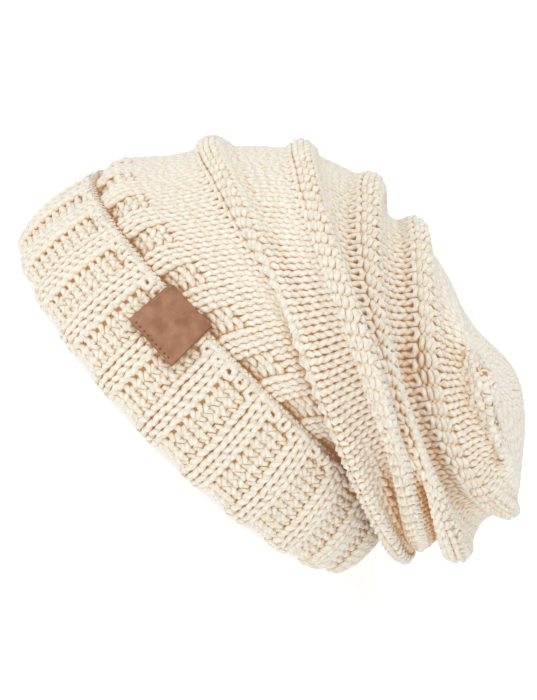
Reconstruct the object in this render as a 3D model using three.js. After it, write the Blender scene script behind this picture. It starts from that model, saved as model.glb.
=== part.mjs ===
// A slouchy beanie in chunky knit, at its real size.
// Millimetres, +Z up. The front of the hat is at -X and the slouch hangs at +X. The hat stands on the fold
// of its turned-up brim, with the origin under the middle of its box, on the surface that it rests on.
// The crown is one knitted shell with four raised welts, the cuff is the turned-up ribbed brim, and a small
// blank leather patch is folded over the cuff's free edge.

import * as THREE from 'three';

// Brim
const RIM_LENGTH = 228;
const RIM_WIDTH = 198;
const CUFF_HEIGHT = 50;
const CUFF_SIDE_RISE = 7;
const CUFF_WALL = 6;
const CUFF_BULGE = 3;
const LEAN_FRONT = 5;
const LEAN_REAR = 10;
const LEAN_SIDE = 4;
const LEAN_CURVE = 1.6;
const FOLD_RADIUS = 4.5;
const LIP_ROUNDING = 2.8;
const RIB_COUNT = 24;
const RIB_DEPTH = 2.2;
const RIB_STEEPNESS = 2.5;
const FREE_EDGE_DIP = 1.2;

// Crown
const CROWN_HEIGHT = 140;
const CROWN_WALL = 5;
const WELT_WIDTH = 16;
const WELT_RISE = 5.5;
const BAND_LENGTH = 21;
const BAND_SKEW = 1.6;
const FIT_GAP = 0.4;

// Leather patch
const PATCH_HEIGHT = 22;
const PATCH_WIDTH = 28;
const PATCH_THICKNESS = 1.6;
const PATCH_LIP = 3.4;
const PATCH_ANGLE_DEGREES = 76;

// Fineness of the facets
const STEPS_AROUND_CROWN = 60;
const STEPS_PER_RIB = 4;
const PATCH_STEPS = 8;

// Rings of the crown, from the brim's free edge up to the gathered end. Angles run from the front (0) over
// the -Y side (a quarter turn) to the rear (half a turn).
// front_x, rear_x: shares of half the rim's length. front_up, rear_up, lift, skew, tilt: shares of the rise
// of the crown above the brim, the last three at the sides. half_width, shift: shares of half the rim's
// width. wall: how much of the crown's wall the ring stands outside its shares.
const RING_COLUMNS = [
  'name', 'front_x', 'front_up', 'rear_x', 'rear_up', 'half_width', 'lift', 'skew', 'tilt', 'shift', 'wall',
];
const RINGS = [
  ['over_edge', -0.87, 0.06, 0.905, 0.025, 0.87, 0.085, 0, 0, 0, 1],
  ['field', -0.75, 0.285, 0.975, -0.07, 0.855, 0.225, 0.02, 0, 0, 1],
  ['welt_1', -0.64, 0.505, 1.065, -0.32, 0.895, 0.1, -0.04, 0.115, 0.025, 1],
  ['welt_2', -0.365, 0.865, 1.06, -0.21, 0.94, 0.05, 0.05, 0.195, -0.03, 1],
  ['welt_3', -0.065, 1.025, 1.205, -0.065, 0.735, -0.12, 0.045, 0.11, -0.075, 1],
  ['welt_4', 0.2, 1.015, 1.215, 0.305, 0.535, -0.27, -0.045, 0.18, -0.045, 1],
  ['tip_low', 0.48, 0.945, 1.23, 0.44, 0.435, 0.02, 0, 0.07, -0.15, 0],
  ['tip_high', 0.645, 0.785, 1.07, 0.63, 0.225, 0.08, 0, -0.095, -0.33, 0],
  ['closure', 0.8, 0.71, 0.8, 0.71, 0, 0, 0, 0, -0.44, 0],
].map((row) => Object.fromEntries(RING_COLUMNS.map((column, k) => [column, row[k]])));
const WELT_NAMES = ['welt_1', 'welt_2', 'welt_3', 'welt_4'];

// Dents of the crown. past: rings between the last welt and the dent's middle. angle: its middle in degrees.
// along, around: how far it spreads up the crown, in rings, and around it, in degrees. depth: millimetres.
const DENT_COLUMNS = ['name', 'past', 'angle', 'along', 'around', 'depth'];
const DENTS = [
  ['hole_below_welt_4', -0.28, 78, 0.13, 10, 5],
  ['recess', 0.45, 69, 0.3, 7, 3],
  ['crease', 1.1, 76, 0.75, 4, 4],
  ['pucker', 0.72, 122, 0.25, 6, 2.5],
].map((row) => Object.fromEntries(DENT_COLUMNS.map((column, k) => [column, row[k]])));

// Height of the brim's free edge: the turn-up is wider at the sides
function edgeHeight(angle) {
  return CUFF_HEIGHT + CUFF_SIDE_RISE * Math.sin(angle) ** 2;
}

// Half length, half width and centre of the brim's outer face at a share of its height
function brimRing(share) {
  const lean = share ** LEAN_CURVE;
  const bulge = CUFF_BULGE * Math.sin(Math.PI * share);
  const front = RIM_LENGTH / 2 - LEAN_FRONT * lean + bulge;
  const rear = RIM_LENGTH / 2 - LEAN_REAR * lean + bulge;
  const side = RIM_WIDTH / 2 - LEAN_SIDE * lean + bulge;
  return { centre: (rear - front) / 2, halfLength: (front + rear) / 2, halfWidth: side };
}

function brimPoint(angle, z, inset) {
  const ring = brimRing(z / edgeHeight(angle));
  return new THREE.Vector3(
    ring.centre - (ring.halfLength - inset) * Math.cos(angle),
    -(ring.halfWidth - inset) * Math.sin(angle),
    z,
  );
}

// Heights of the crown's rings behind the cuff
const CROWN_FOOT = CUFF_WALL + FIT_GAP;
function behindCuff(angle) {
  return [CROWN_FOOT, edgeHeight(angle) / 2, edgeHeight(angle) - FREE_EDGE_DIP];
}

const FIRST_RING = behindCuff(0).length;
const RING_COUNT = FIRST_RING + RINGS.length;
const WELTS = WELT_NAMES.map((name) => FIRST_RING + RINGS.findIndex((ring) => ring.name === name));
const LAST_WELT = WELTS[WELTS.length - 1];

function crownRingPoint(ring, angle) {
  const front = ring.front_x * RIM_LENGTH / 2 - ring.wall * CROWN_WALL;
  const rear = ring.rear_x * RIM_LENGTH / 2 + ring.wall * CROWN_WALL;
  const halfWidth = ring.half_width * RIM_WIDTH / 2 + ring.wall * CROWN_WALL;
  const foot = CUFF_HEIGHT + FIT_GAP + CROWN_WALL;
  const rise = CROWN_HEIGHT - foot;
  const along = Math.cos(angle);
  const aside = Math.sin(angle) ** 2;
  const up = (ring.front_up + ring.rear_up) / 2 + (ring.front_up - ring.rear_up) / 2 * along
    + ring.lift * aside - 2 * ring.skew * aside * along + ring.tilt * Math.sin(angle);
  return new THREE.Vector3(
    (front + rear) / 2 - (rear - front) / 2 * along,
    -halfWidth * Math.sin(angle) + ring.shift * RIM_WIDTH / 2,
    foot + rise * up,
  );
}

// The wale of the crown at an angle: its points on the rings, their spacing, and the slopes of the smooth
// curve through them
function wale(angle) {
  const behind = behindCuff(angle).map((z) => brimPoint(angle, z, CUFF_WALL + FIT_GAP));
  const points = [...behind, ...RINGS.map((ring) => crownRingPoint(ring, angle))];
  const spans = points.slice(1).map((point, k) => point.distanceTo(points[k]));
  const steps = spans.map((span) => Math.sqrt(span));
  const speeds = spans.map((_, k) => points[k + 1].clone().sub(points[k]).divideScalar(steps[k]));
  const slopes = points.map((_, k) => {
    if (k === 0) return speeds[0];
    if (k === points.length - 1) return speeds[k - 1];
    const share = steps[k] / (steps[k] + steps[k - 1]);
    return speeds[k - 1].clone().multiplyScalar(share).addScaledVector(speeds[k], 1 - share);
  });
  return { points, spans, steps, slopes };
}

function pointOnWale(line, place) {
  const k = Math.min(Math.max(Math.floor(place), 0), RING_COUNT - 2);
  const t = place - k;
  const step = line.steps[k];
  return new THREE.Vector3()
    .addScaledVector(line.points[k], 2 * t ** 3 - 3 * t ** 2 + 1)
    .addScaledVector(line.slopes[k], step * (t ** 3 - 2 * t ** 2 + t))
    .addScaledVector(line.points[k + 1], -2 * t ** 3 + 3 * t ** 2)
    .addScaledVector(line.slopes[k + 1], step * (t ** 3 - t ** 2));
}

// Outward normal of the smooth form under the welts
function normalOnWale(lines, place) {
  const small = 0.01;
  const around = pointOnWale(lines.after, place).sub(pointOnWale(lines.before, place));
  const along = pointOnWale(lines.here, place + small).sub(pointOnWale(lines.here, place - small));
  return around.cross(along).normalize();
}

// Half the width of a welt beside a span between two crests
function weltHalfWidth(span) {
  const mostOfSpan = 0.46;
  return Math.min(WELT_WIDTH / 2, mostOfSpan * span);
}

// Depth of the band between two welts. Where they come close, its cloth folds inwards.
function bandDepth(span) {
  const folded = 0.65;
  const gap = span - 2 * weltHalfWidth(span);
  return folded * Math.sqrt(Math.max(BAND_LENGTH ** 2 - gap ** 2, 0)) / 2;
}

// Share of a band's depth at a share of its width. It is deepest near the foot of the next welt.
function bandProfile(share) {
  return Math.sqrt(1 - (2 * share ** BAND_SKEW - 1) ** 2);
}

function dentDepth(angle, place) {
  return DENTS.reduce((sum, dent) => {
    const along = (place - LAST_WELT - dent.past) / dent.along;
    const around = (THREE.MathUtils.radToDeg(angle) - dent.angle) / dent.around;
    return sum + dent.depth * Math.exp(-(along ** 2) - around ** 2);
  }, 0);
}

// Stations of the outer face along a wale: place in rings and rise above the smooth form
function outerStations(line) {
  const belowWelts = [0, 1, 2, 2.5, 3, 3.5, 4, WELTS[0] - 0.6];
  const aboveWelts = [0.6, 1, 1.5, 2, 2.6].map((step) => LAST_WELT + step);
  const profile = [1, 0.85, 0.5, 0];
  const acrossBand = [0.3, 0.65, 0.9];
  const stations = belowWelts.map((place) => ({ place, rise: 0 }));
  for (const welt of WELTS) {
    const below = line.spans[welt - 1];
    const above = line.spans[welt];
    for (const share of profile) {
      const place = welt - share * weltHalfWidth(below) / below;
      stations.push({ place, rise: WELT_RISE * Math.sqrt(1 - share ** 2) });
    }
    for (const share of profile.slice(0, -1).reverse()) {
      const place = welt + share * weltHalfWidth(above) / above;
      stations.push({ place, rise: WELT_RISE * Math.sqrt(1 - share ** 2) });
    }
    if (welt !== LAST_WELT) {
      const foot = weltHalfWidth(above) / above;
      for (const share of acrossBand) {
        const place = welt + foot + share * (1 - 2 * foot);
        stations.push({ place, rise: -bandDepth(above) * bandProfile(share) });
      }
    }
  }
  stations.push(...aboveWelts.map((place) => ({ place, rise: 0 })));
  return stations;
}

// Stations of the inner face: a wall inside the outer one, hollow under each welt as far as its width lets
function innerStations(line) {
  const belowWelts = [0, 1, 2, 3, 4, WELTS[0] - 0.4];
  const aboveWelts = [0.5, 1, 1.6, 2.3].map((step) => LAST_WELT + step);
  const raised = 0.8;
  const sunk = 0.5;
  const steepness = 0.7;
  const [nearFlank, deepest, farFlank] = [0.35, 0.6, 0.8];
  const stations = belowWelts.map((place) => ({ place, rise: -CROWN_WALL }));
  for (const welt of WELTS) {
    const narrowest = Math.min(weltHalfWidth(line.spans[welt - 1]), weltHalfWidth(line.spans[welt]));
    const room = Math.max(narrowest - CROWN_WALL, 0) / (WELT_WIDTH / 2 - CROWN_WALL);
    const hollow = Math.min(room, 1);
    const depth = welt === LAST_WELT ? 0 : bandDepth(line.spans[welt]);
    const crest = -CROWN_WALL + hollow * raised * WELT_RISE - (1 - hollow) * sunk * depth;
    stations.push({ place: welt, rise: crest });
    if (welt !== LAST_WELT) {
      const floor = -CROWN_WALL - depth;
      const flank = crest + steepness * (floor - crest);
      stations.push({ place: welt + nearFlank, rise: flank });
      stations.push({ place: welt + deepest, rise: floor });
      stations.push({ place: welt + farFlank, rise: flank });
    }
  }
  stations.push(...aboveWelts.map((place) => ({ place, rise: -CROWN_WALL })));
  return stations;
}

// A closed body from loops of points: rows follow each other, each row closes on itself
class BodyMaker {
  constructor() {
    this.positions = [];
    this.faces = [];
  }

  addPoint(point) {
    this.positions.push(point.x, point.y, point.z);
    return this.positions.length / 3 - 1;
  }

  addRow(points) {
    return points.map((point) => this.addPoint(point));
  }

  joinRows(lower, upper) {
    lower.forEach((corner, k) => {
      const next = (k + 1) % lower.length;
      this.faces.push(corner, lower[next], upper[next], corner, upper[next], upper[k]);
    });
  }

  closeRow(row, tip, flipped) {
    row.forEach((corner, k) => {
      const next = row[(k + 1) % row.length];
      this.faces.push(...(flipped ? [next, corner, tip] : [corner, next, tip]));
    });
  }

  geometry() {
    const geometry = new THREE.BufferGeometry();
    geometry.setAttribute('position', new THREE.Float32BufferAttribute(this.positions, 3));
    geometry.setIndex(this.faces);
    geometry.computeVertexNormals();
    return geometry;
  }
}

function crownGeometry() {
  const small = 0.002;
  const angles = Array.from({ length: STEPS_AROUND_CROWN }, (_, k) => 2 * Math.PI * k / STEPS_AROUND_CROWN);
  const wales = angles.map((angle) => ({
    angle, here: wale(angle), before: wale(angle - small), after: wale(angle + small),
  }));
  const face = (stationsOf) => {
    const columns = wales.map((lines) => stationsOf(lines.here).map(({ place, rise }) => {
      const point = pointOnWale(lines.here, place);
      return point.addScaledVector(normalOnWale(lines, place), rise - dentDepth(lines.angle, place));
    }));
    return columns[0].map((_, row) => columns.map((column) => column[row]));
  };
  const body = new BodyMaker();
  const outer = face(outerStations).map((row) => body.addRow(row));
  const inner = face(innerStations).map((row) => {
    row.forEach((point) => { point.z = Math.max(point.z, CROWN_FOOT); });
    return body.addRow(row);
  });
  for (let k = 0; k + 1 < outer.length; k += 1) body.joinRows(outer[k], outer[k + 1]);
  for (let k = 0; k + 1 < inner.length; k += 1) body.joinRows(inner[k + 1], inner[k]);
  body.joinRows(inner[0], outer[0]);
  const closure = crownRingPoint(RINGS[RINGS.length - 1], 0);
  const inward = new THREE.Vector3(0, 0, -CROWN_WALL);
  body.closeRow(outer[outer.length - 1], body.addPoint(closure), false);
  body.closeRow(inner[inner.length - 1], body.addPoint(closure.clone().add(inward)), true);
  return body.geometry();
}

// How far the rib pattern stands back at an angle: nothing on the knit ribs, all on the purl ones
function ribInset(angle) {
  const wave = Math.tanh(RIB_STEEPNESS * Math.cos(RIB_COUNT * angle)) / Math.tanh(RIB_STEEPNESS);
  return RIB_DEPTH * (0.5 - 0.5 * wave);
}

// Profile of the cuff up to a height, round its wall: inset from the outer face, height, share of the ribs
// and share of the free edge's dip
function cuffProfile(top) {
  const lipEnd = CUFF_WALL + FIT_GAP + CROWN_WALL;
  const shoulder = top - 0.4 * CUFF_WALL;
  return [
    { inset: lipEnd - 0.3 * LIP_ROUNDING, z: 0.6 * LIP_ROUNDING, rib: 0 },
    { inset: lipEnd - LIP_ROUNDING, z: 0, rib: 0 },
    { inset: FOLD_RADIUS, z: 0, rib: 0 },
    { inset: 0.3 * FOLD_RADIUS, z: 0.3 * FOLD_RADIUS, rib: 0.6 },
    { inset: 0, z: FOLD_RADIUS, rib: 1 },
    { inset: 0, z: 0.35 * top, rib: 1 },
    { inset: 0, z: 0.65 * top, rib: 1 },
    { inset: 0, z: shoulder, rib: 1 },
    { inset: 0.3 * CUFF_WALL, z: top, rib: 1, dip: 1 },
    { inset: 0.75 * CUFF_WALL, z: top, rib: 0.4, dip: 1 },
    { inset: CUFF_WALL, z: shoulder, rib: 0 },
    { inset: CUFF_WALL, z: 0.5 * top, rib: 0 },
    { inset: CUFF_WALL, z: CUFF_WALL, rib: 0 },
    { inset: lipEnd, z: CUFF_WALL, rib: 0 },
  ];
}

function cuffGeometry() {
  const count = RIB_COUNT * STEPS_PER_RIB;
  const angles = Array.from({ length: count }, (_, k) => 2 * Math.PI * (k + 0.5) / count);
  const body = new BodyMaker();
  const rows = cuffProfile(CUFF_HEIGHT).map((_, k) => body.addRow(angles.map((angle) => {
    const { inset, z, rib, dip = 0 } = cuffProfile(edgeHeight(angle))[k];
    const back = ribInset(angle);
    const height = z - dip * FREE_EDGE_DIP * back / RIB_DEPTH;
    return brimPoint(angle, height, inset + rib * back);
  })));
  rows.forEach((row, k) => body.joinRows(row, rows[(k + 1) % rows.length]));
  return body.geometry();
}

// The patch lies on the ribs' crests, and its upper end is bent over the cuff's free edge
function patchLoop(edge) {
  const low = edge - PATCH_HEIGHT;
  const top = edge + FIT_GAP;
  const bend = 0.3 * CUFF_WALL;
  const back = [
    { inset: -FIT_GAP, z: low },
    { inset: -FIT_GAP, z: (low + top) / 2 },
    { inset: -FIT_GAP, z: top - bend },
    { inset: 0.3 * bend, z: top - 0.3 * bend },
    { inset: bend, z: top },
    { inset: PATCH_LIP, z: top },
  ];
  const front = [
    { inset: back[0].inset - PATCH_THICKNESS, z: low },
    { inset: back[1].inset - PATCH_THICKNESS, z: back[1].z },
    { inset: back[2].inset - PATCH_THICKNESS, z: back[2].z },
    { inset: back[3].inset - 0.7 * PATCH_THICKNESS, z: back[3].z + 0.7 * PATCH_THICKNESS },
    { inset: back[4].inset, z: top + PATCH_THICKNESS },
    { inset: PATCH_LIP, z: top + PATCH_THICKNESS },
  ];
  return [...back, ...front.reverse()];
}

function patchGeometry() {
  const middleAngle = THREE.MathUtils.degToRad(PATCH_ANGLE_DEGREES);
  const small = 0.01;
  const here = brimPoint(middleAngle, CUFF_HEIGHT, 0);
  const beside = brimPoint(middleAngle + small, CUFF_HEIGHT, 0);
  const turn = PATCH_WIDTH * small / here.distanceTo(beside);
  const body = new BodyMaker();
  const columns = Array.from({ length: PATCH_STEPS + 1 }, (_, k) => {
    const angle = middleAngle + turn * (k / PATCH_STEPS - 0.5);
    return body.addRow(patchLoop(edgeHeight(angle)).map(({ inset, z }) => brimPoint(angle, z, inset)));
  });
  for (let k = 0; k < PATCH_STEPS; k += 1) body.joinRows(columns[k], columns[k + 1]);
  const closeEnd = (column, flipped) => {
    const last = column.length - 1;
    for (let k = 0; k < (last - 1) / 2; k += 1) {
      const [a, b, c, d] = [column[k], column[k + 1], column[last - k - 1], column[last - k]];
      body.faces.push(...(flipped ? [a, c, b, a, d, c] : [a, b, c, a, c, d]));
    }
  };
  closeEnd(columns[0], true);
  closeEnd(columns[PATCH_STEPS], false);
  return body.geometry();
}

function piece(name, geometry, material) {
  const mesh = new THREE.Mesh(geometry, material);
  mesh.name = name;
  return mesh;
}

const yarn = new THREE.MeshStandardMaterial({ color: 0xf1e8d8, roughness: 0.95, metalness: 0 });
const ribYarn = new THREE.MeshStandardMaterial({ color: 0xeee4d2, roughness: 0.95, metalness: 0 });
const leather = new THREE.MeshStandardMaterial({ color: 0xb5866b, roughness: 0.8, metalness: 0 });

const beanie = new THREE.Group();
beanie.add(
  piece('crown', crownGeometry(), yarn),
  piece('cuff', cuffGeometry(), ribYarn),
  piece('leather_patch', patchGeometry(), leather),
);
const box = new THREE.Box3().setFromObject(beanie);
const middle = box.getCenter(new THREE.Vector3());
beanie.position.set(-middle.x, -middle.y, -box.min.z);
beanie.updateMatrixWorld(true);

export default beanie;
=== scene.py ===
from collections import namedtuple
import math

import bpy
import numpy as np
from mathutils import Matrix, Vector


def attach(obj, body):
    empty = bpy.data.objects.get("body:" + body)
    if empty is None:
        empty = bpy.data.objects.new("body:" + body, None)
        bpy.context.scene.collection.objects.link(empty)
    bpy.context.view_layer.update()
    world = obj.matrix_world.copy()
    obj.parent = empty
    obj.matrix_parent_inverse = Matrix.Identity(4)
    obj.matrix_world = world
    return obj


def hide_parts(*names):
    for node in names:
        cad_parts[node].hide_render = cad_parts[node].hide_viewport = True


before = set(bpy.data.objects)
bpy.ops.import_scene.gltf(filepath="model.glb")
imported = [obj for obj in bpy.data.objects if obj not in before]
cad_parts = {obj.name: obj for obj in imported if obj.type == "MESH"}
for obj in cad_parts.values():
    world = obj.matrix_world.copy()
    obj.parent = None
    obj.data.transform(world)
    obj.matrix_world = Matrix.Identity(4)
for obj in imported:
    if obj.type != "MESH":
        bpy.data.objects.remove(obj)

# A slouchy beanie, knitted stitch by stitch over the form that the frame gives.
# Lengths are in millimetres up to where a mesh is made, and MM turns them to metres.
MM = 0.001
TURN = 2 * math.pi

# Brim. Its purl ribs lie back by RIB_DEPTH, which they reach within RIB_FADE_ROWS rows of their ends
FOLD_RADIUS = 4.5
CUFF_WALL = 6.0
CUFF_SIDE_RISE = 7.0
CUFF_BULGE = 3.0
LEAN_FRONT = 5.0
LEAN_REAR = 10.0
LEAN_SIDE = 4.0
LEAN_CURVE = 1.6
RIB_DEPTH = 2.2
RIB_STEEPNESS = 2.5
RIB_FADE_ROWS = 3
FREE_EDGE_DIP = 1.2
FIT_GAP = 0.4

# Crown. Half a welt takes up at most WELT_SHARE of the way to the next ring. Where less than TIGHT_GAP is
# left between two welts, the band between them is shallower, down to TIGHT_DEPTH of its depth, so that its
# yarn doesn't cross
CROWN_HEIGHT = 140.0
CROWN_WALL = 5.0
WELT_WIDTH = 16.0
WELT_RISE = 5.5
WELT_SHARE = 0.46
BAND_LENGTH = 21.0
BAND_FOLDED = 0.65
BAND_SKEW = 1.6
TIGHT_GAP = 6.0
TIGHT_DEPTH = 0.2

# Leather patch, bent over the free edge with a short stretch on top of it. It buckles a little, and its cut
# edges are rounded and darker. Painted shade darkens the needle holes near the lower end
PATCH_HEIGHT = 22.0
PATCH_WIDTH = 28.0
PATCH_THICKNESS = 1.6
PATCH_ANGLE = math.radians(76)
PATCH_ON_TOP = 1.0
EDGE_ROUNDING = 0.3 * CUFF_WALL
PATCH_BEND = EDGE_ROUNDING + PATCH_THICKNESS / 2
PATCH_STRAIGHT = PATCH_HEIGHT + FIT_GAP - EDGE_ROUNDING
PATCH_ROWS = 78
PATCH_COLUMNS = 84
BUCKLE_DEPTH = 0.175
BUCKLE_ACROSS = 5.0
BUCKLE_ALONG = 3.0
CUT_ROUNDING = 0.45
CUT_LEAST = 0.12
EDGE_DARKENING = 0.6
EDGE_DARK_START = 1.15
EDGE_DARK_WIDTH = 0.55
NEEDLE_HOLES = 9
NEEDLE_SPACING = 2.6
NEEDLE_HEIGHT = 1.7
NEEDLE_DEPTH = 0.8
NEEDLE_RADIUS = 0.4
NEEDLE_SHADE_SPREAD = 0.42

# Yarn and stitches. A loop bows out by its depth, leans aside by a share of a stitch and reaches up and down
# by a share of a row. The heads of purl loops are fuller, and their feet go back by PURL_FEET of their depth
YARN_RADIUS = 1.75
LOOP_DEPTH = 1.2
LOOP_LEAN = 0.21
LOOP_REACH = 0.95
PURL_RADIUS = 1.4
PURL_DEPTH = 1.9
PURL_REACH = 0.86
PURL_FEET = 0.1
PURL_FULLER = 0.16
STITCHES = 96
STITCH_BLEND = 0.4
RIB_REPEAT = 4
RIB_COUNT = STITCHES // RIB_REPEAT

# Where a purl rib begins, the yarn is drawn aside by HOLE_DRAW of a stitch. It turns over within HOLE_TURN of
# a stitch and fades over HOLE_REACH of one
HOLE_DRAW = 0.16
HOLE_TURN = 0.15
HOLE_REACH = 0.6

# Hand knitting is a little uneven: sway in stitches, rise in rows, and swell and bow as shares of themselves
UNEVEN_SWAY = 0.03
UNEVEN_RISE = 0.04
UNEVEN_SWELL = 0.03
UNEVEN_BOW = 0.06

# Steps of a loop and sides of its yarn, and the same for the rows behind the brim, which hardly show
LOOP_STEPS = 10
YARN_SIDES = 6
HIDDEN_STEPS = 8
HIDDEN_SIDES = 5

# The skin behind the outer loops, which is coloured as painted shade
BACKING_DEPTH = 3.1
BACKING_THICKNESS = 0.6

# Camera, from the photograph's view: how high it stands, its roll, which is the slope of the hat's length in
# the picture, and what it looks at
CAMERA_ELEVATION = math.radians(13)
CAMERA_ROLL = math.atan2(0.72, 0.694)
CAMERA_DISTANCE = 1300.0
CAMERA_TARGET = (10.2, 0.0, 48.7)
FRAME_HEIGHT_MM = 336.0
SENSOR = 36.0

# Studio, in metres and watts
FLOOR_HALF = 15.0
KEY_PLACE = (-0.6, -1.2, 1.5)
KEY_AIM = (0, 0, 0.05)
KEY_SIZE = 1.0
KEY_POWER = 8
SKY_STRENGTH = 0.8

# What lies this near the floor belongs to the hat's foot
FOOT_REACH = 0.1


def measured_brim():
    """Middle, length and width of the rim's outer face at its foot, and the cuff's height at the front."""
    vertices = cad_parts["cuff"].data.vertices
    points = np.empty(len(vertices) * 3)
    vertices.foreach_get("co", points)
    points = points.reshape(-1, 3) / MM
    foot = points[points[:, 2] < FOOT_REACH]
    low, high = foot.min(axis=0), foot.max(axis=0)
    length, width = high[0] - low[0] + 2 * FOLD_RADIUS, high[1] - low[1] + 2 * FOLD_RADIUS
    middle = (low[0] + high[0]) / 2, (low[1] + high[1]) / 2
    return middle, length, width, points[:, 2].max() - CUFF_SIDE_RISE


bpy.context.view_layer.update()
RIM_MIDDLE, RIM_LENGTH, RIM_WIDTH, CUFF_HEIGHT = measured_brim()

# Rings of the crown from the brim's free edge up, as in the construction: shares of half the rim's length for
# x, of the crown's rise for up, lift, skew and tilt, of half the rim's width for half_width and shift, and of
# the crown's wall for wall
RING_COLUMNS = (
    "front_x", "front_up", "rear_x", "rear_up", "half_width", "lift", "skew", "tilt", "shift", "wall",
)
RINGS = {
    "over_edge": (-0.87, 0.06, 0.905, 0.025, 0.87, 0.085, 0, 0, 0, 1),
    "field": (-0.75, 0.285, 0.975, -0.07, 0.855, 0.225, 0.02, 0, 0, 1),
    "welt_1": (-0.64, 0.505, 1.065, -0.32, 0.895, 0.1, -0.04, 0.115, 0.025, 1),
    "welt_2": (-0.365, 0.865, 1.06, -0.21, 0.94, 0.05, 0.05, 0.195, -0.03, 1),
    "welt_3": (-0.065, 1.025, 1.205, -0.065, 0.735, -0.12, 0.045, 0.11, -0.075, 1),
    "welt_4": (0.2, 1.015, 1.215, 0.305, 0.535, -0.27, -0.045, 0.18, -0.045, 1),
    "tip_low": (0.48, 0.945, 1.23, 0.44, 0.435, 0.02, 0, 0.07, -0.15, 0),
    "tip_high": (0.645, 0.785, 1.07, 0.63, 0.225, 0.08, 0, -0.095, -0.33, 0),
    "closure": (0.8, 0.71, 0.8, 0.71, 0, 0, 0, 0, -0.44, 0),
}

# Places are numbers of rings, from the lowest of the three behind the brim up to the closure
EDGE_PLACE = 2
WELT_PLACES = [EDGE_PLACE + 1 + list(RINGS).index(f"welt_{k}") for k in (1, 2, 3, 4)]
LAST_PLACE = EDGE_PLACE + len(RINGS)

# Dents of the crown, as in the construction: rings past the last welt, angle in degrees, spread up the crown
# in rings and round it in degrees, and depth in millimetres. The crease is wider here and shallower, so that
# the yarn of its two sides doesn't cross
DENTS = {
    "hole_below_welt_4": (-0.28, 78, 0.13, 10, 5),
    "recess": (0.45, 69, 0.3, 7, 3),
    "crease": (1.1, 76, 0.75, 7, 3),
    "pucker": (0.72, 122, 0.25, 6, 2.5),
}

# Sections of the knitting, from the brim's fold to the closure, with the stitches round the hat. The tip's
# stitches are taken in row by row
Section = namedtuple("Section", "name rows stitches kind")
SECTIONS = [
    Section("inner_ribs", 11, STITCHES, "rib"),
    Section("field_ribs", 4, STITCHES, "rib"),
    Section("field", 6, STITCHES, "knit"),
    Section("welt_1", 4, STITCHES, "purl"),
    Section("band_1", 7, STITCHES, "knit"),
    Section("welt_2", 4, STITCHES, "purl"),
    Section("band_2", 7, 88, "knit"),
    Section("welt_3", 4, 80, "purl"),
    Section("band_3", 7, 72, "knit"),
    Section("welt_4", 4, 64, "purl"),
    Section("tip", 13, 64, "knit"),
]
TIP_STITCHES = (64, 64, 64, 64, 56, 56, 56, 48, 48, 40, 32, 24, 16)

# The field swells by FIELD_PROUD where it comes out from under the brim, which hides the gap between them.
# The swelling is highest FIELD_SWELL_AT rows past the brim's edge, and falls off over FIELD_SWELL_ROWS rows
FIELD_PROUD = 3.8
FIELD_SWELL_AT = 0.3
FIELD_SWELL_ROWS = 2.4

# A welt is purled up to this share of its upper half, and knitted from there on
PURLED_SHARE = 0.4

# The cuff is knitted from inside its free edge over that edge, down the outer face and round the fold at the
# rim. Row 0 lies on the free edge, EDGE_ROWS rows lie inside it, and they reach down by EDGE_TUCK
CUFF_ROWS = 15
FIRST_CUFF_ROW = -1
EDGE_ROWS = 2.5
EDGE_TUCK = 10.3
EDGE_ARC_POINTS = 13
FOLD_ARC_POINTS = 17
CUFF_STEPS = 200

# The cast-on: one thick, nearly straight round of yarn along the free edge
CAST_ON_ROW = 0.1
CAST_ON_REACH = 0.1
CAST_ON_DEPTH = 0.4
CAST_ON_RADIUS = 1.9

# How finely the form is sampled: steps of a turn, between two rings, and in a row of knitting
ANGLE_STEPS = 720
PLACE_STEPS = 48
ROW_STEPS = 8

# How far the cloth is smoothed: its points and its normals in rows, and its normals in steps of a turn too
POINT_SPREAD = 0.25
NORMAL_SPREAD = 0.55
ROUND_SPREAD = 10
ANGLES = np.arange(ANGLE_STEPS) * TURN / ANGLE_STEPS

rng = np.random.default_rng(7)


# The form

def edge_height(angle):
    """Height of the brim's free edge. The turn-up is wider at the sides."""
    return CUFF_HEIGHT + CUFF_SIDE_RISE * np.sin(angle) ** 2


def brim_point(angle, z, inset):
    """A point of the brim: inset from its outer face, at a height. Angle 0 is the front, and a quarter turn
    is the side with the patch."""
    share = np.clip(z / edge_height(angle), 0, None)
    lean = share ** LEAN_CURVE
    bulge = CUFF_BULGE * np.sin(math.pi * share)
    front = RIM_LENGTH / 2 - LEAN_FRONT * lean + bulge
    rear = RIM_LENGTH / 2 - LEAN_REAR * lean + bulge
    side = RIM_WIDTH / 2 - LEAN_SIDE * lean + bulge
    x = RIM_MIDDLE[0] + (rear - front) / 2 - ((front + rear) / 2 - inset) * np.cos(angle)
    y = RIM_MIDDLE[1] - (side - inset) * np.sin(angle)
    return np.stack(np.broadcast_arrays(x, y, z), axis=-1)


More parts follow.
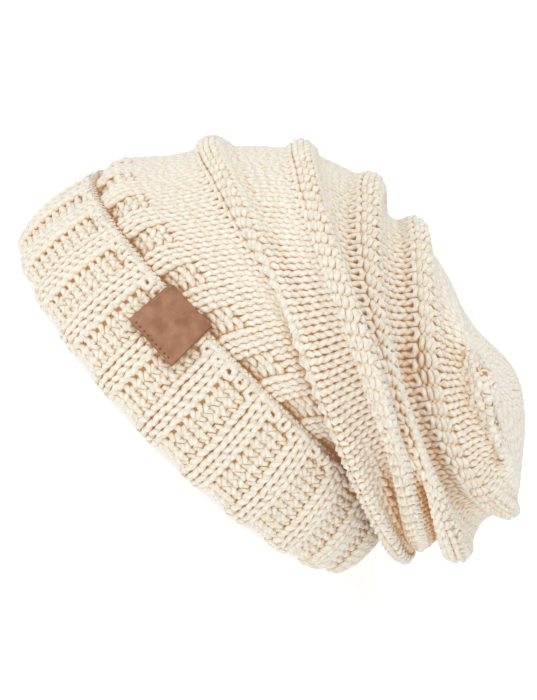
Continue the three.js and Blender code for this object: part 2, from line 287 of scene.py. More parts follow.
def ring_point(name, angle):
    """A point of one of the crown's rings, on its outer face."""
    ring = dict(zip(RING_COLUMNS, RINGS[name]))
    front = ring["front_x"] * RIM_LENGTH / 2 - ring["wall"] * CROWN_WALL
    rear = ring["rear_x"] * RIM_LENGTH / 2 + ring["wall"] * CROWN_WALL
    half_width = ring["half_width"] * RIM_WIDTH / 2 + ring["wall"] * CROWN_WALL
    foot = CUFF_HEIGHT + FIT_GAP + CROWN_WALL
    along = np.cos(angle)
    aside = np.sin(angle) ** 2
    up = (ring["front_up"] + ring["rear_up"]) / 2 + (ring["front_up"] - ring["rear_up"]) / 2 * along
    up = up + ring["lift"] * aside - 2 * ring["skew"] * aside * along + ring["tilt"] * np.sin(angle)
    x = RIM_MIDDLE[0] + (front + rear) / 2 - (rear - front) / 2 * along
    y = RIM_MIDDLE[1] - half_width * np.sin(angle) + ring["shift"] * RIM_WIDTH / 2
    return np.stack([x, y, foot + (CROWN_HEIGHT - foot) * up], axis=-1)


def unit(vectors):
    return vectors / np.maximum(np.linalg.norm(vectors, axis=-1, keepdims=True), 1e-9)


def outward(grid):
    """Outward normals of a grid of points, by place up the wales and by angle round the hat."""
    around = np.roll(grid, -1, axis=1) - np.roll(grid, 1, axis=1)
    along = np.gradient(grid, axis=0)
    return unit(np.cross(around, along))


def half_welt(span):
    """Half a welt's width, which is less where the next ring is close."""
    return np.minimum(WELT_WIDTH / 2, WELT_SHARE * span)


def crown_rise(spans, span_number, share):
    """How far the outer face stands off the smooth form: welts stand up and the bands between them sink."""
    span = spans[span_number]
    half = half_welt(span)
    gap = span - 2 * half
    depth = BAND_FOLDED * np.sqrt(np.maximum(BAND_LENGTH ** 2 - gap ** 2, 0)) / 2
    depth = depth * np.clip(gap / TIGHT_GAP, TIGHT_DEPTH, 1)
    share = share[:, None]
    rise = np.zeros(np.broadcast(share, span).shape)
    for number, across in ((span_number, share * span), (span_number + 1, (1 - share) * span)):
        on_welt = np.isin(number, WELT_PLACES)[:, None] & (across < half)
        rise = np.where(on_welt, WELT_RISE * np.sqrt(np.clip(1 - (across / half) ** 2, 0, 1)), rise)
    between = np.isin(span_number, WELT_PLACES[:-1])[:, None]
    across_band = (share * span - half) / gap
    in_band = between & (across_band > 0) & (across_band < 1)
    skewed = np.clip(across_band, 0, 1) ** BAND_SKEW
    return np.where(in_band, -depth * np.sqrt(np.clip(1 - (2 * skewed - 1) ** 2, 0, 1)), rise)


def dent_depth(places):
    """Depth of the crown's dents on the grid of places and angles."""
    depth = np.zeros((len(places), ANGLE_STEPS))
    for past, middle, along, around, deepest in DENTS.values():
        up = (places[:, None] - WELT_PLACES[-1] - past) / along
        beside = (np.degrees(ANGLES)[None, :] - middle) / around
        depth += deepest * np.exp(-up ** 2 - beside ** 2)
    return depth


def crown_grid():
    """The crown's outer face on a grid of places and angles, and the spans between its rings."""
    edge = edge_height(ANGLES)
    inset = CUFF_WALL + FIT_GAP
    behind_cuff = [brim_point(ANGLES, z, inset) for z in (inset + 0 * edge, edge / 2, edge - FREE_EDGE_DIP)]
    rings = np.array(behind_cuff + [ring_point(name, ANGLES) for name in RINGS])
    moves = np.diff(rings, axis=0)
    spans = np.linalg.norm(moves, axis=-1)
    steps = np.sqrt(spans)
    speeds = moves / steps[..., None]
    share = (steps[1:] / (steps[1:] + steps[:-1]))[..., None]
    slopes = np.concatenate([speeds[:1], speeds[:-1] * share + speeds[1:] * (1 - share), speeds[-1:]])
    places = np.arange(LAST_PLACE * PLACE_STEPS + 1) / PLACE_STEPS
    number = np.minimum(places.astype(int), LAST_PLACE - 1)
    t = (places - number)[:, None, None]
    step = steps[number][..., None]
    smooth = (
        (2 * t ** 3 - 3 * t ** 2 + 1) * rings[number] + (t ** 3 - 2 * t ** 2 + t) * step * slopes[number]
        + (3 * t ** 2 - 2 * t ** 3) * rings[number + 1] + (t ** 3 - t ** 2) * step * slopes[number + 1]
    )
    rise = crown_rise(spans, number, places - number) - dent_depth(places)
    return smooth + rise[..., None] * outward(smooth), spans


def bell(spread):
    """A bell curve's reach in steps, and its weights."""
    reach = int(3 * spread)
    weights = np.exp(-0.5 * (np.arange(-reach, reach + 1) / spread) ** 2)
    return reach, weights / weights.sum()


def softened(grid, spread):
    """A grid smoothed along its wales, by a bell curve that is spread over so many of its steps."""
    reach, weights = bell(spread)
    padded = np.concatenate([grid[:1].repeat(reach, 0), grid, grid[-1:].repeat(reach, 0)])
    return sum(w * padded[k:k + len(grid)] for k, w in enumerate(weights))


def softened_both_ways(grid, spread):
    """A grid smoothed along its wales and round the hat."""
    along = softened(grid, spread)
    reach, weights = bell(ROUND_SPREAD)
    return sum(w * np.roll(along, k - reach, axis=1) for k, w in enumerate(weights))


class Cloth:
    """The outer face of knitted cloth, which gives points and normals by row and share of a turn."""

    def __init__(self, points, first_row, facing=1):
        self.points = points
        self.normals = facing * outward(softened_both_ways(points, NORMAL_SPREAD * ROW_STEPS))
        self.first_row = first_row

    def at(self, row, turn):
        """Point and outward normal at a row and a share of a turn."""
        down = np.clip((row - self.first_row) * ROW_STEPS, 0, len(self.points) - 1.001)
        k = down.astype(int)
        s = (down - k)[:, None]
        across = (turn % 1) * ANGLE_STEPS
        a = across.astype(int) % ANGLE_STEPS
        b = (a + 1) % ANGLE_STEPS
        u = (across - np.floor(across))[:, None]
        found = []
        for grid in (self.points, self.normals):
            low = grid[k, a] * (1 - u) + grid[k, b] * u
            high = grid[k + 1, a] * (1 - u) + grid[k + 1, b] * u
            found.append(low * (1 - s) + high * s)
        return found[0], unit(found[1])


def by_rows(grid, marks, rows):
    """The grid's points at even rows of knitting. marks says at which steps of the grid rows are reached."""
    moves = np.linalg.norm(np.diff(grid, axis=0), axis=-1)
    length = np.concatenate([np.zeros((1, ANGLE_STEPS)), np.cumsum(moves, axis=0)])
    wanted = np.arange(int(rows[0] * ROW_STEPS), int(rows[-1] * ROW_STEPS) + 1) / ROW_STEPS
    result = np.empty((len(wanted), ANGLE_STEPS, 3))
    steps = np.arange(len(grid))
    for a in range(ANGLE_STEPS):
        reached = np.interp(marks[:, a], steps, length[:, a])
        at = np.interp(wanted, rows, reached)
        for axis in range(3):
            result[:, a, axis] = np.interp(at, length[:, a], grid[:, a, axis])
    return result


def crown_cloth():
    """The crown's cloth, with its rows spread over the field, the welts, the bands and the tip."""
    grid, spans = crown_grid()
    everywhere = np.ones(ANGLE_STEPS)
    marks, rows = [0 * everywhere, EDGE_PLACE * everywhere], [0, section_start("field_ribs")]
    for number, place in enumerate(WELT_PLACES, start=1):
        below, above = spans[place - 1], spans[place]
        marks.append(place - half_welt(below) / below)
        rows.append(section_start(f"welt_{number}"))
        marks.append(place + PURLED_SHARE * half_welt(above) / above)
        rows.append(section_end(f"welt_{number}"))
    marks.append(LAST_PLACE * everywhere)
    rows.append(section_end("tip"))
    found = by_rows(grid, np.array(marks) * PLACE_STEPS, np.array(rows, float))
    return Cloth(softened(found, POINT_SPREAD * ROW_STEPS), 0)


def section_start(name):
    """The row of knitting at which a section starts."""
    names = [section.name for section in SECTIONS]
    return sum(section.rows for section in SECTIONS[:names.index(name)])


def section_end(name):
    rows = {section.name: section.rows for section in SECTIONS}
    return section_start(name) + rows[name]


def cuff_cloth():
    """The cuff's cloth: over the free edge, down the outer face and round the fold at the rim."""
    middle = CUFF_WALL / 2
    fold = (CUFF_WALL + FIT_GAP + CROWN_WALL) / 2
    start = [(CUFF_WALL, CUFF_HEIGHT - EDGE_TUCK)]
    over_edge = [
        (middle - middle * math.sin(t), CUFF_HEIGHT - middle + middle * math.cos(t))
        for t in np.linspace(-math.pi / 2, math.pi / 2, EDGE_ARC_POINTS)
    ]
    round_fold = [
        (fold - fold * math.cos(t), fold - fold * math.sin(t))
        for t in np.linspace(0, math.pi, FOLD_ARC_POINTS)
    ]
    path = np.array(start + over_edge + round_fold)
    length = np.concatenate([[0], np.cumsum(np.linalg.norm(np.diff(path, axis=0), axis=1))])
    at = np.linspace(0, length[-1], CUFF_STEPS)
    inset, z = np.interp(at, length, path[:, 0]), np.interp(at, length, path[:, 1])
    heights = z[:, None] * edge_height(ANGLES)[None, :] / CUFF_HEIGHT
    grid = brim_point(ANGLES[None, :], heights, inset[:, None])
    marks = np.array([[0.0], [CUFF_STEPS - 1.0]]) * np.ones(ANGLE_STEPS)
    found = by_rows(grid, marks, np.array([-EDGE_ROWS, CUFF_ROWS]))
    return Cloth(softened(found, POINT_SPREAD * ROW_STEPS), -EDGE_ROWS, facing=-1)


# Stitches

def rib_wave(turn):
    """1 on the knit ribs and -1 on the purl ones."""
    return np.tanh(RIB_STEEPNESS * np.cos(RIB_COUNT * TURN * turn)) / math.tanh(RIB_STEEPNESS)


def kinds_of_stitch(kind, stitches):
    """1 for each knit stitch of a row and -1 for each purl one. Ribs are two knit, two purl."""
    if kind == "rib":
        column = np.arange(stitches) % RIB_REPEAT
        return np.where((column == 0) | (column == RIB_REPEAT - 1), 1.0, -1.0)
    return np.full(stitches, 1.0 if kind == "knit" else -1.0)


def blended(values, stitch):
    """The values of a row's stitches at places along it, turning smoothly from each stitch to the next."""
    nearest = np.round(stitch).astype(int)
    count = len(values)
    blend = np.clip((stitch - nearest) / STITCH_BLEND + 0.5, 0, 1)
    blend = blend * blend * (3 - 2 * blend)
    return values[(nearest - 1) % count] * (1 - blend) + values[nearest % count] * blend


class Row:
    """One row of knitting: its middle, its stitches, the kind of each and of the stitch above it, how far its
    purl ribs lie back and how far it stands proud."""

    def __init__(self, row, stitches, kind, above, setback=0.0, proud=0.0):
        self.row, self.stitches, self.kind, self.above = row, stitches, kind, above
        self.setback, self.proud = setback, proud
        self.purled = kind == "purl"
        self.radius = PURL_RADIUS if self.purled else YARN_RADIUS
        self.depth = PURL_DEPTH if self.purled else LOOP_DEPTH
        self.reach = PURL_REACH if self.purled else LOOP_REACH


def rib_setback(rows_from_end):
    """How far purl ribs lie back, so many rows from their end."""
    return RIB_DEPTH * min(1, rows_from_end / RIB_FADE_ROWS)


def rib_holes(row, stitch):
    """How far the yarn is drawn aside, in stitches, where a purl rib begins: a hole opens there in each row.
    The holes close where the ribs end and where the cloth stands proud."""
    if row.kind != "rib":
        return 0
    past = (stitch + 1) % RIB_REPEAT - RIB_REPEAT / 2
    draw = HOLE_DRAW * (row.setback / RIB_DEPTH - row.proud / FIELD_PROUD)
    return draw * (np.tanh(past / HOLE_TURN) * np.exp(-(past / HOLE_REACH) ** 2))


def yarn_line(cloth, row, steps):
    """Centre line of a row's yarn: a loop for each stitch, its legs in front of a knit stitch's head and
    behind a purl one's. Small uneven turns keep it from looking machine drawn."""
    count = row.stitches
    stitch = np.arange(count * steps) / steps
    uneven = rng.normal(0, 1, (4, count))
    sway, rise, swell, lift = (np.interp(stitch, np.arange(count), u, period=count) for u in uneven)
    phase = TURN * stitch
    turn = (stitch + LOOP_LEAN * np.sin(2 * phase) + UNEVEN_SWAY * sway + rib_holes(row, stitch)) / count
    height = row.row - row.reach * np.cos(phase) * (1 + UNEVEN_SWELL * swell) + UNEVEN_RISE * rise
    own = blended(kinds_of_stitch(row.kind, count), stitch)
    above = kinds_of_stitch(row.above, count)[stitch.astype(int)]
    over = np.where(np.cos(phase) < 0, above, own)
    arcs = over * np.cos(phase) ** 2 * np.where((np.cos(phase) > 0) & row.purled, PURL_FEET, 1)
    bow = row.depth * (own * np.sin(phase) ** 2 - arcs) * (1 + UNEVEN_BOW * lift)
    back = row.setback * (0.5 - 0.5 * rib_wave(turn)) - row.proud
    face, normal = cloth.at(height, turn)
    line = face - normal * (row.radius + row.depth - bow + back)[:, None]
    fuller = PURL_FULLER * row.purled * np.where(np.cos(phase) < 0, np.cos(phase) ** 2, 0)
    return line, normal, row.radius * (1 + UNEVEN_SWELL * swell + fuller)


def yarn_tube(line, normal, radius, sides):
    """Vertices, and length along the yarn, of a closed tube round a centre line."""
    ahead = np.roll(line, -1, axis=0)
    tangent = unit(ahead - np.roll(line, 1, axis=0))
    side = unit(np.cross(tangent, normal))
    up = np.cross(side, tangent)
    around = np.arange(sides) * TURN / sides
    ring = np.cos(around)[None, :, None] * side[:, None] + np.sin(around)[None, :, None] * up[:, None]
    vertices = line[:, None] + radius[:, None, None] * ring
    length = np.concatenate([[0], np.cumsum(np.linalg.norm(ahead - line, axis=1))])
    return vertices, length


def knit_mesh(name, cloth, rows, steps=LOOP_STEPS, sides=YARN_SIDES):
    """A mesh of many rows of yarn. Its map runs along and round the yarn in millimetres and turns."""
    all_vertices, all_faces, all_maps = [], [], []
    first = 0
    for row in rows:
        line, normal, radius = yarn_line(cloth, row, steps)
        vertices, length = yarn_tube(line, normal, radius, sides)
        count = len(line)
        k = np.arange(count)[:, None]
        s = np.arange(sides)[None, :]
        ahead, beside = (k + 1) % count, (s + 1) % sides
        corners = [(k, s), (k, beside), (ahead, beside), (ahead, s)]
        faces = np.stack([first + a * sides + b for a, b in corners], axis=-1).reshape(-1, 4)
        along = np.broadcast_to(length[:-1, None], (count, sides))
        further = np.broadcast_to(length[1:, None], (count, sides))
        turned = np.broadcast_to(s / sides, (count, sides))
        turned_on = turned + 1 / sides
        places = [(along, turned), (along, turned_on), (further, turned_on), (further, turned)]
        all_maps.append(np.stack([np.stack(place, axis=-1) for place in places], axis=2).reshape(-1, 2))
        all_vertices.append(vertices.reshape(-1, 3))
        all_faces.append(faces)
        first += count * sides
    mesh = mesh_from(name, np.concatenate(all_vertices), np.concatenate(all_faces))
    layer = mesh.uv_layers.new(name="yarn")
    layer.uv.foreach_set("vector", np.concatenate(all_maps).astype(np.float32).ravel())
    return mesh


def add_attribute(mesh, name, values):
    attribute = mesh.attributes.new(name, "FLOAT", "POINT")
    attribute.data.foreach_set("value", values.astype(np.float32))


def grid_faces(first, rows, columns, closed, flipped=False):
    """Faces of a grid of points that starts at a number. A closed grid's last column joins its first."""
    k = np.arange(rows - 1)[:, None]
    a = np.arange(columns if closed else columns - 1)[None, :]
    b = (a + 1) % columns
    corners = [(k, a), (k, b), (k + 1, b), (k + 1, a)]
    faces = np.stack([first + row * columns + column for row, column in corners], axis=-1).reshape(-1, 4)
    return faces[:, ::-1] if flipped else faces


def backing_mesh(name, cloth, first_row, last_row, ribbed_to):
    """A thin closed skin behind the outer loops, which stands for the yarn that lies between them."""
    rows = np.arange(first_row, last_row + 1.0)
    columns = 2 * STITCHES
    turns = np.arange(columns) / columns
    sheets = []
    for depth in (BACKING_DEPTH, BACKING_DEPTH + BACKING_THICKNESS):
        for row in rows:
            face, normal = cloth.at(np.full(columns, row), turns)
            back = RIB_DEPTH * (0.5 - 0.5 * rib_wave(turns)) * (row < ribbed_to)
            sheets.append(face - normal * (depth + back)[:, None])
    points = np.concatenate(sheets)
    inner = len(rows) * columns
    around = np.arange(columns)
    beside = (around + 1) % columns
    faces = [grid_faces(0, len(rows), columns, True), grid_faces(inner, len(rows), columns, True, True)]
    faces.append(np.stack([around, around + inner, beside + inner, beside], axis=-1))
    around = around + inner - columns
    beside = beside + inner - columns
    faces.append(np.stack([around, beside, beside + inner, around + inner], axis=-1))
    return mesh_from(name, points, np.concatenate(faces))


def mesh_from(name, points, faces):
    """A smooth mesh of four-sided faces, with its points turned from millimetres to metres."""
    mesh = bpy.data.meshes.new(name)
    mesh.vertices.add(len(points))
    mesh.vertices.foreach_set("co", (np.asarray(points) * MM).astype(np.float32).ravel())
    mesh.loops.add(faces.size)
    mesh.loops.foreach_set("vertex_index", faces.astype(np.int32).ravel())
    mesh.polygons.add(len(faces))
    mesh.polygons.foreach_set("loop_start", np.arange(len(faces), dtype=np.int32) * faces.shape[1])
    mesh.update(calc_edges=True)
    mesh.polygons.foreach_set("use_smooth", np.ones(len(faces), bool))
    mesh.validate()
    return mesh


def add_piece(name, mesh, material, node):
    """Puts a mesh in the scene as a piece that rides on the hat and stands for a node of the frame."""
    piece = bpy.data.objects.new(name, mesh)
    bpy.context.scene.collection.objects.link(piece)
    mesh.materials.append(material)
    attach(piece, "root")
    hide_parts(node)


# Materials

# A Mix node's sockets for colours, by number, because their names stand for other kinds of value too
MIX_SHARE = 0
MIX_FIRST = 6
MIX_SECOND = 7
MIX_RESULT = 2

# The colour of the painted glow that stands for light that has come through yarn
PAINTED_GLOW_COLOUR = "#f6cc92"


def linear(code):
    """A linear colour from an sRGB hex code."""
    values = [int(code[k:k + 2], 16) / 255 for k in (1, 3, 5)]
    return [v / 12.92 if v <= 0.04045 else ((v + 0.055) / 1.055) ** 2.4 for v in values] + [1.0]


def add_node(material, kind, settings=None, links=None):
    """Adds a node with its settings, its input values and the sockets that feed it, and returns it. Inputs go
    by name, or by number where their names repeat."""
    node = material.node_tree.nodes.new(kind)
    for name, value in (settings or {}).items():
        if isinstance(name, str) and hasattr(node, name):
            setattr(node, name, value)
        else:
            node.inputs[name].default_value = value
    for name, socket in (links or {}).items():
        material.node_tree.links.new(socket, node.inputs[name])
    return node


def new_material(name):
    material = bpy.data.materials.new(name)
    material.use_nodes = True
    material.node_tree.nodes.clear()
    return material


def finish_material(material, settings, links):
    """Ends a material in a Principled shader."""
    shader = add_node(material, "ShaderNodeBsdfPrincipled", settings, links)
    add_node(material, "ShaderNodeOutputMaterial", None, {"Surface": shader.outputs[0]})
    return material


def colour_ramp(material, factor, tones):
    """Looks a factor up in a ramp of colours, given by position and sRGB hex code."""
    ramp = add_node(material, "ShaderNodeValToRGB", None, {"Fac": factor})
    elements = ramp.color_ramp.elements
    for element, (position, code) in zip(elements, (tones[0], tones[-1])):
        element.position = position
        element.color = linear(code)
    for position, code in tones[1:-1]:
        elements.new(position).color = linear(code)
    return ramp.outputs["Color"]


def openness(material, reach_mm):
    """How open a place is to its surroundings within a reach: 1 in the open and 0 deep inside a hollow."""
    node = add_node(material, "ShaderNodeAmbientOcclusion", {"samples": 6, "Distance": reach_mm * MM})
    return node.outputs["AO"]


def plied_acrylic_yarn(name):
    """Chunky two-ply acrylic yarn, undyed cream: soft and matte, with slanting grooves where its plies twist
    and a bloom of short fibres. It is lightest on the outer loops. Painted shade makes it warm tan down
    between them and in the cloth's folds, and darkens its ply grooves. A faint painted warm glow there stands
    for light that has come through yarn."""
    between_loops_mm = 7.0
    between_folds_mm = 24.0
    ply_twist_mm = 7.0
    fibre_mm = 0.45
    relief_mm = 0.6
    material = new_material(name)
    # Painted shade: the cream turns warm tan where the loops close in round a place
    open_to_loops = openness(material, between_loops_mm)
    painted_loop_shade = colour_ramp(material, open_to_loops, (
        (0.0, "#b0702f"), (0.2, "#d29b5c"), (0.42, "#eccb9a"), (0.6, "#f6e9d1"), (0.8, "#fbf7ec"),
    ))
    # Painted shade in the cloth's folds, laid over the painted shade between the loops
    fold = colour_ramp(material, openness(material, between_folds_mm), ((0.0, "#ce985c"), (0.5, "#ffffff")))
    painted_shade_tint = add_node(material, "ShaderNodeMix", {
        "data_type": "RGBA", "blend_type": "MULTIPLY", MIX_SHARE: 1.0,
    }, {MIX_FIRST: painted_loop_shade, MIX_SECOND: fold})
    place = add_node(material, "ShaderNodeUVMap", {"uv_map": "yarn"})
    parts = add_node(material, "ShaderNodeSeparateXYZ", None, {"Vector": place.outputs[0]})
    turns = add_node(material, "ShaderNodeMath", {"operation": "MULTIPLY_ADD", 1: 1 / ply_twist_mm},
                     {0: parts.outputs["X"], 2: parts.outputs["Y"]})
    angle = add_node(material, "ShaderNodeMath", {"operation": "MULTIPLY", 1: 2 * TURN},
                     {0: turns.outputs[0]})
    plies = add_node(material, "ShaderNodeMath", {"operation": "SINE"}, {0: angle.outputs[0]})
    # Painted shade in the grooves between the plies
    ply_groove_shade = add_node(material, "ShaderNodeMapRange", {"From Min": -0.2, "From Max": -1.0, "To Max": 0.3},
                      {"Value": plies.outputs[0]})
    plied = add_node(material, "ShaderNodeMix", {
        "data_type": "RGBA", "blend_type": "MULTIPLY", MIX_SECOND: linear("#dcc6a0"),
    }, {MIX_SHARE: ply_groove_shade.outputs[0], MIX_FIRST: painted_shade_tint.outputs[MIX_RESULT]})
    where = add_node(material, "ShaderNodeTexCoord")
    fibres = add_node(material, "ShaderNodeTexNoise", {"Scale": 1 / (fibre_mm * MM), "Detail": 3.0},
                      {"Vector": where.outputs["Object"]})
    relief = add_node(material, "ShaderNodeMath", {"operation": "MULTIPLY_ADD", 1: 0.35},
                      {0: plies.outputs[0], 2: fibres.outputs["Fac"]})
    bump = add_node(material, "ShaderNodeBump", {"Strength": 0.6, "Distance": relief_mm * MM},
                    {"Height": relief.outputs[0]})
    # Painted glow, strongest where the loops close in, standing for light that has come through yarn
    painted_glow = add_node(material, "ShaderNodeMapRange", {"From Min": 0.7, "From Max": 0.0, "To Max": 0.2},
                    {"Value": open_to_loops})
    return finish_material(material, {
        "Roughness": 0.9, "Specular IOR Level": 0.2, "Sheen Weight": 0.2, "Sheen Roughness": 0.5,
        "Emission Color": linear(PAINTED_GLOW_COLOUR),
    }, {
        "Base Color": plied.outputs[MIX_RESULT], "Normal": bump.outputs[0],
        "Emission Strength": painted_glow.outputs[0],
    })


def shaded_acrylic_yarn(name):
    """The same yarn where it lies behind the outer loops, coloured as painted shade: tan, fuzzy, and with the
    same faint painted glow that stands for light that has come through yarn."""
    fibre_mm = 0.6
    material = new_material(name)
    where = add_node(material, "ShaderNodeTexCoord")
    fibres = add_node(material, "ShaderNodeTexNoise", {"Scale": 1 / (fibre_mm * MM), "Detail": 3.0},
                      {"Vector": where.outputs["Object"]})
    # Painted shade: tan tones of the yarn in shadow, mottled by its fibres
    tone = colour_ramp(material, fibres.outputs["Fac"], ((0.0, "#a97442"), (1.0, "#cf9f70")))
    return finish_material(material, {
        "Roughness": 1.0, "Specular IOR Level": 0.1,
        "Emission Color": linear(PAINTED_GLOW_COLOUR), "Emission Strength": 0.15,
    }, {"Base Color": tone})


def matte_tan_leather(name):
    """Cowhide suede split, dyed tan and pressed smooth, with no gloss: fine pores and a faint mottle. It is
    darker along its cut edges, and painted shade darkens its needle holes."""
    grain_mm = 0.6
    mottle_mm = 5.0
    material = new_material(name)
    where = add_node(material, "ShaderNodeTexCoord")
    mottle = add_node(material, "ShaderNodeTexNoise", {"Scale": 1 / (mottle_mm * MM), "Detail": 5.0},
                      {"Vector": where.outputs["Object"]})
    colour = colour_ramp(material, mottle.outputs["Fac"], ((0.3, "#96694e"), (0.7, "#b08467")))
    # Darker along the cut edges, and painted shade in and round the needle holes
    dark_edge_and_hole_shade = add_node(material, "ShaderNodeAttribute", {"attribute_name": "dark_edge_and_hole_shade"})
    tanned = add_node(material, "ShaderNodeMix", {"data_type": "RGBA", MIX_SECOND: linear("#6d4029")},
                      {MIX_SHARE: dark_edge_and_hole_shade.outputs["Fac"], MIX_FIRST: colour})
    pores = add_node(material, "ShaderNodeTexVoronoi", {"Scale": 1 / (grain_mm * MM)},
                     {"Vector": where.outputs["Object"]})
    fibres = add_node(material, "ShaderNodeTexNoise", {"Scale": 4 / (grain_mm * MM), "Detail": 4.0},
                      {"Vector": where.outputs["Object"]})
    relief = add_node(material, "ShaderNodeMath", {"operation": "MULTIPLY_ADD", 1: 0.6},
                      {0: pores.outputs["Distance"], 2: fibres.outputs["Fac"]})
    bump = add_node(material, "ShaderNodeBump", {"Strength": 0.35, "Distance": 0.2 * MM},
                    {"Height": relief.outputs[0]})
    return finish_material(material, {"Roughness": 0.8, "Specular IOR Level": 0.25}, {
        "Base Color": tanned.outputs[MIX_RESULT], "Normal": bump.outputs[0],
    })


# Pieces

def crown_rows():
    """All rows of the crown, by section."""
    plan = []
    for name, count, stitches, kind in SECTIONS:
        start = section_start(name)
        for k in range(count):
            round_count = TIP_STITCHES[k] if name == "tip" else stitches
            plan.append((name, start + k + 0.5, round_count, kind))
    rows = {}
    for k, (name, middle, stitches, kind) in enumerate(plan):
        above = plan[min(k + 1, len(plan) - 1)][3]
        setback = rib_setback(section_end("field_ribs") - middle) if kind == "rib" else 0.0
        past_edge = middle - section_start("field_ribs")
        proud = FIELD_PROUD * math.exp(-((past_edge - FIELD_SWELL_AT) / FIELD_SWELL_ROWS) ** 2)
        rows.setdefault(name, []).append(Row(middle, stitches, kind, above, setback, proud))
    return rows


def add_crown(material, shade):
    cloth = crown_cloth()
    rows = crown_rows()
    parts = {
        "crown_inner_ribs": ("inner_ribs",),
        "crown_field": ("field_ribs", "field"),
        "crown_lower_welts": ("welt_1", "band_1", "welt_2"),
        "crown_upper_welts": ("band_2", "welt_3", "band_3"),
        "crown_tip": ("welt_4", "tip"),
    }
    for name, sections in parts.items():
        chosen = [row for section in sections for row in rows[section]]
        hidden = name == "crown_inner_ribs"
        fineness = (HIDDEN_STEPS, HIDDEN_SIDES) if hidden else (LOOP_STEPS, YARN_SIDES)
        add_piece(name, knit_mesh(name, cloth, chosen, *fineness), material, "crown")
    # A skin behind the loops, in the painted shade of yarn in shadow
    backing = backing_mesh("crown_backing", cloth, 0, section_end("tip"), section_end("field_ribs"))
    add_piece("crown_backing", backing, shade, "crown")


def add_cuff(material, shade):
    cloth = cuff_cloth()
    rows = [
        Row(float(k), STITCHES, "rib", "rib", rib_setback(k + 1 - FIRST_CUFF_ROW))
        for k in range(FIRST_CUFF_ROW, CUFF_ROWS)
    ]
    cast_on = Row(CAST_ON_ROW, STITCHES, "knit", "knit")
    cast_on.reach, cast_on.depth, cast_on.radius = CAST_ON_REACH, CAST_ON_DEPTH, CAST_ON_RADIUS
    rows.append(cast_on)
    add_piece("cuff_knit", knit_mesh("cuff_knit", cloth, rows), material, "cuff")
    # A skin behind the loops, in the painted shade of yarn in shadow
    backing = backing_mesh("cuff_backing", cloth, FIRST_CUFF_ROW, CUFF_ROWS - 1, CUFF_ROWS)
    add_piece("cuff_backing", backing, shade, "cuff")


def patch_path(along):
    """Inset and height over the free edge of the patch's middle layer, and the way out from its face, at
    lengths from the lower end."""
    back = -FIT_GAP - PATCH_THICKNESS / 2
    turn = np.clip((along - PATCH_STRAIGHT) / PATCH_BEND, 0, math.pi / 2)
    flat = np.maximum(along - PATCH_STRAIGHT - PATCH_BEND * math.pi / 2, 0)
    inset = back + PATCH_BEND * (1 - np.cos(turn)) + flat
    height = np.minimum(along, PATCH_STRAIGHT) - PATCH_HEIGHT + PATCH_BEND * np.sin(turn)
    return inset, height, -np.cos(turn), np.sin(turn)


def patch_angles(across):
    """Angles round the hat of places across the patch."""
    nudge = 0.005
    step = brim_point(PATCH_ANGLE + nudge, CUFF_HEIGHT, 0) - brim_point(PATCH_ANGLE - nudge, CUFF_HEIGHT, 0)
    return PATCH_ANGLE + across * 2 * nudge / np.linalg.norm(step)


def from_needle_holes(across, along):
    """Distance from the nearest needle hole. They stand in a row near the patch's lower end."""
    holes = (np.arange(NEEDLE_HOLES) - NEEDLE_HOLES // 2) * NEEDLE_SPACING
    return np.min([np.hypot(across - x, along - NEEDLE_HEIGHT) for x in holes], axis=0)


def patch_faces():
    """Faces of the patch: its outer and inner side, and the cut edge between them."""
    count = PATCH_COLUMNS * PATCH_ROWS
    rim = np.concatenate([
        np.arange(PATCH_COLUMNS),
        np.arange(1, PATCH_ROWS) * PATCH_COLUMNS + PATCH_COLUMNS - 1,
        count - 2 - np.arange(PATCH_COLUMNS - 1),
        (PATCH_ROWS - 2 - np.arange(PATCH_ROWS - 2)) * PATCH_COLUMNS,
    ])
    onward = np.roll(rim, -1)
    cut_edge = np.stack([rim, rim + count, onward + count, onward], axis=-1)
    outer = grid_faces(0, PATCH_ROWS, PATCH_COLUMNS, False)
    inner = grid_faces(count, PATCH_ROWS, PATCH_COLUMNS, False, True)
    return np.concatenate([outer, inner, cut_edge])


def add_patch(leather):
    """The leather patch: a blank plate that is bent over the free edge, with rounded cut edges and a row of
    needle holes near its lower end."""
    length = PATCH_STRAIGHT + PATCH_BEND * math.pi / 2 + PATCH_ON_TOP
    across = np.linspace(-PATCH_WIDTH / 2, PATCH_WIDTH / 2, PATCH_COLUMNS)[None, :]
    along = np.linspace(0, length, PATCH_ROWS)[:, None]
    inset, height, out_inset, out_up = patch_path(along)
    angle = patch_angles(across)
    across_wave = np.sin(BUCKLE_ACROSS * across / PATCH_WIDTH)
    buckle = BUCKLE_DEPTH * across_wave * np.sin(BUCKLE_ALONG * along / length)
    from_side = np.minimum(PATCH_WIDTH / 2 - np.abs(across), np.minimum(along, length - along))
    thick = np.sqrt(np.clip(1 - (1 - np.clip(from_side / CUT_ROUNDING, 0, 1)) ** 2, CUT_LEAST, 1))
    from_hole = from_needle_holes(across, along)
    dip = NEEDLE_DEPTH * np.exp(-(from_hole / NEEDLE_RADIUS) ** 2)
    # Darker along the cut edges, and painted shade in and round the needle holes
    dark_edge = EDGE_DARKENING * np.clip(EDGE_DARK_START - from_side / EDGE_DARK_WIDTH, 0, 1)
    dark_edge_and_hole_shade = dark_edge + np.exp(-(from_hole / NEEDLE_SHADE_SPREAD) ** 2)
    sides = []
    for side in (1, -1):
        rise = side * PATCH_THICKNESS / 2 * thick - (side > 0) * dip + buckle
        z = edge_height(angle) + height + rise * out_up
        sides.append(brim_point(angle, z, inset + rise * out_inset).reshape(-1, 3))
    mesh = mesh_from("leather_patch_blank", np.concatenate(sides), patch_faces())
    add_attribute(mesh, "dark_edge_and_hole_shade", np.concatenate([np.clip(dark_edge_and_hole_shade, 0, 1).ravel()] * 2))
    add_piece("leather_patch_blank", mesh, leather, "leather_patch")


# Stage, light and camera

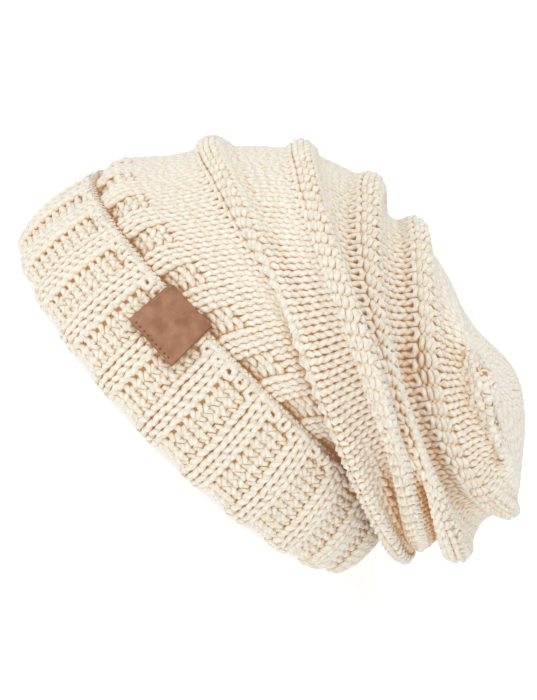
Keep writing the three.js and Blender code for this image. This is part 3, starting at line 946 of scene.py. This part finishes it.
def add_floor():
    """White paper that is lit from behind, as the photograph's plain ground. It casts no shadow, so that the
    brim's foot stays light."""
    corners = [(x * FLOOR_HALF, y * FLOOR_HALF, 0) for x, y in ((-1, -1), (1, -1), (1, 1), (-1, 1))]
    mesh = bpy.data.meshes.new("floor")
    mesh.from_pydata(corners, [], [(0, 1, 2, 3)])
    floor = bpy.data.objects.new("floor", mesh)
    bpy.context.scene.collection.objects.link(floor)
    material = new_material("white_paper")
    finish_material(material, {
        "Base Color": linear("#b8b8b8"), "Roughness": 1.0, "Specular IOR Level": 0.0,
        "Emission Color": linear("#ffffff"), "Emission Strength": 0.7,
    }, {})
    mesh.materials.append(material)
    floor.visible_shadow = False


def add_light(name, place, aim, size, power):
    data = bpy.data.lights.new(name, "AREA")
    data.size = size
    data.energy = power
    light = bpy.data.objects.new(name, data)
    light.location = place
    light.rotation_euler = (Vector(aim) - Vector(place)).to_track_quat("-Z", "Y").to_euler()
    bpy.context.scene.collection.objects.link(light)


def add_camera():
    data = bpy.data.cameras.new("camera")
    data.sensor_width = SENSOR
    data.lens = SENSOR * CAMERA_DISTANCE / FRAME_HEIGHT_MM
    data.clip_end = 100
    camera = bpy.data.objects.new("camera", data)
    high, flat = math.sin(CAMERA_ELEVATION), math.cos(CAMERA_ELEVATION)
    across, over = math.cos(CAMERA_ROLL), math.sin(CAMERA_ROLL)
    right = Vector((across, over * high, over * flat))
    up = Vector((-over, across * high, across * flat))
    back = Vector((0, -flat, high))
    target = Vector(CAMERA_TARGET) + Vector((*RIM_MIDDLE, 0))
    place = (target + back * CAMERA_DISTANCE) * MM
    camera.matrix_world = Matrix.Translation(place) @ Matrix((right, up, back)).transposed().to_4x4()
    bpy.context.scene.collection.objects.link(camera)
    bpy.context.scene.camera = camera


def add_studio():
    world = bpy.data.worlds.new("studio")
    bpy.context.scene.world = world
    world.use_nodes = True
    sky = world.node_tree.nodes["Background"]
    sky.inputs["Color"].default_value = (1, 1, 1, 1)
    sky.inputs["Strength"].default_value = SKY_STRENGTH
    add_light("key", KEY_PLACE, KEY_AIM, KEY_SIZE, KEY_POWER)
    bpy.context.scene.view_settings.view_transform = "Standard"
    add_floor()
    add_camera()


add_studio()
yarn = plied_acrylic_yarn("cream_plied_acrylic_yarn")
shade = shaded_acrylic_yarn("shaded_acrylic_yarn")
add_crown(yarn, shade)
add_cuff(yarn, shade)
add_patch(matte_tan_leather("matte_tan_leather"))
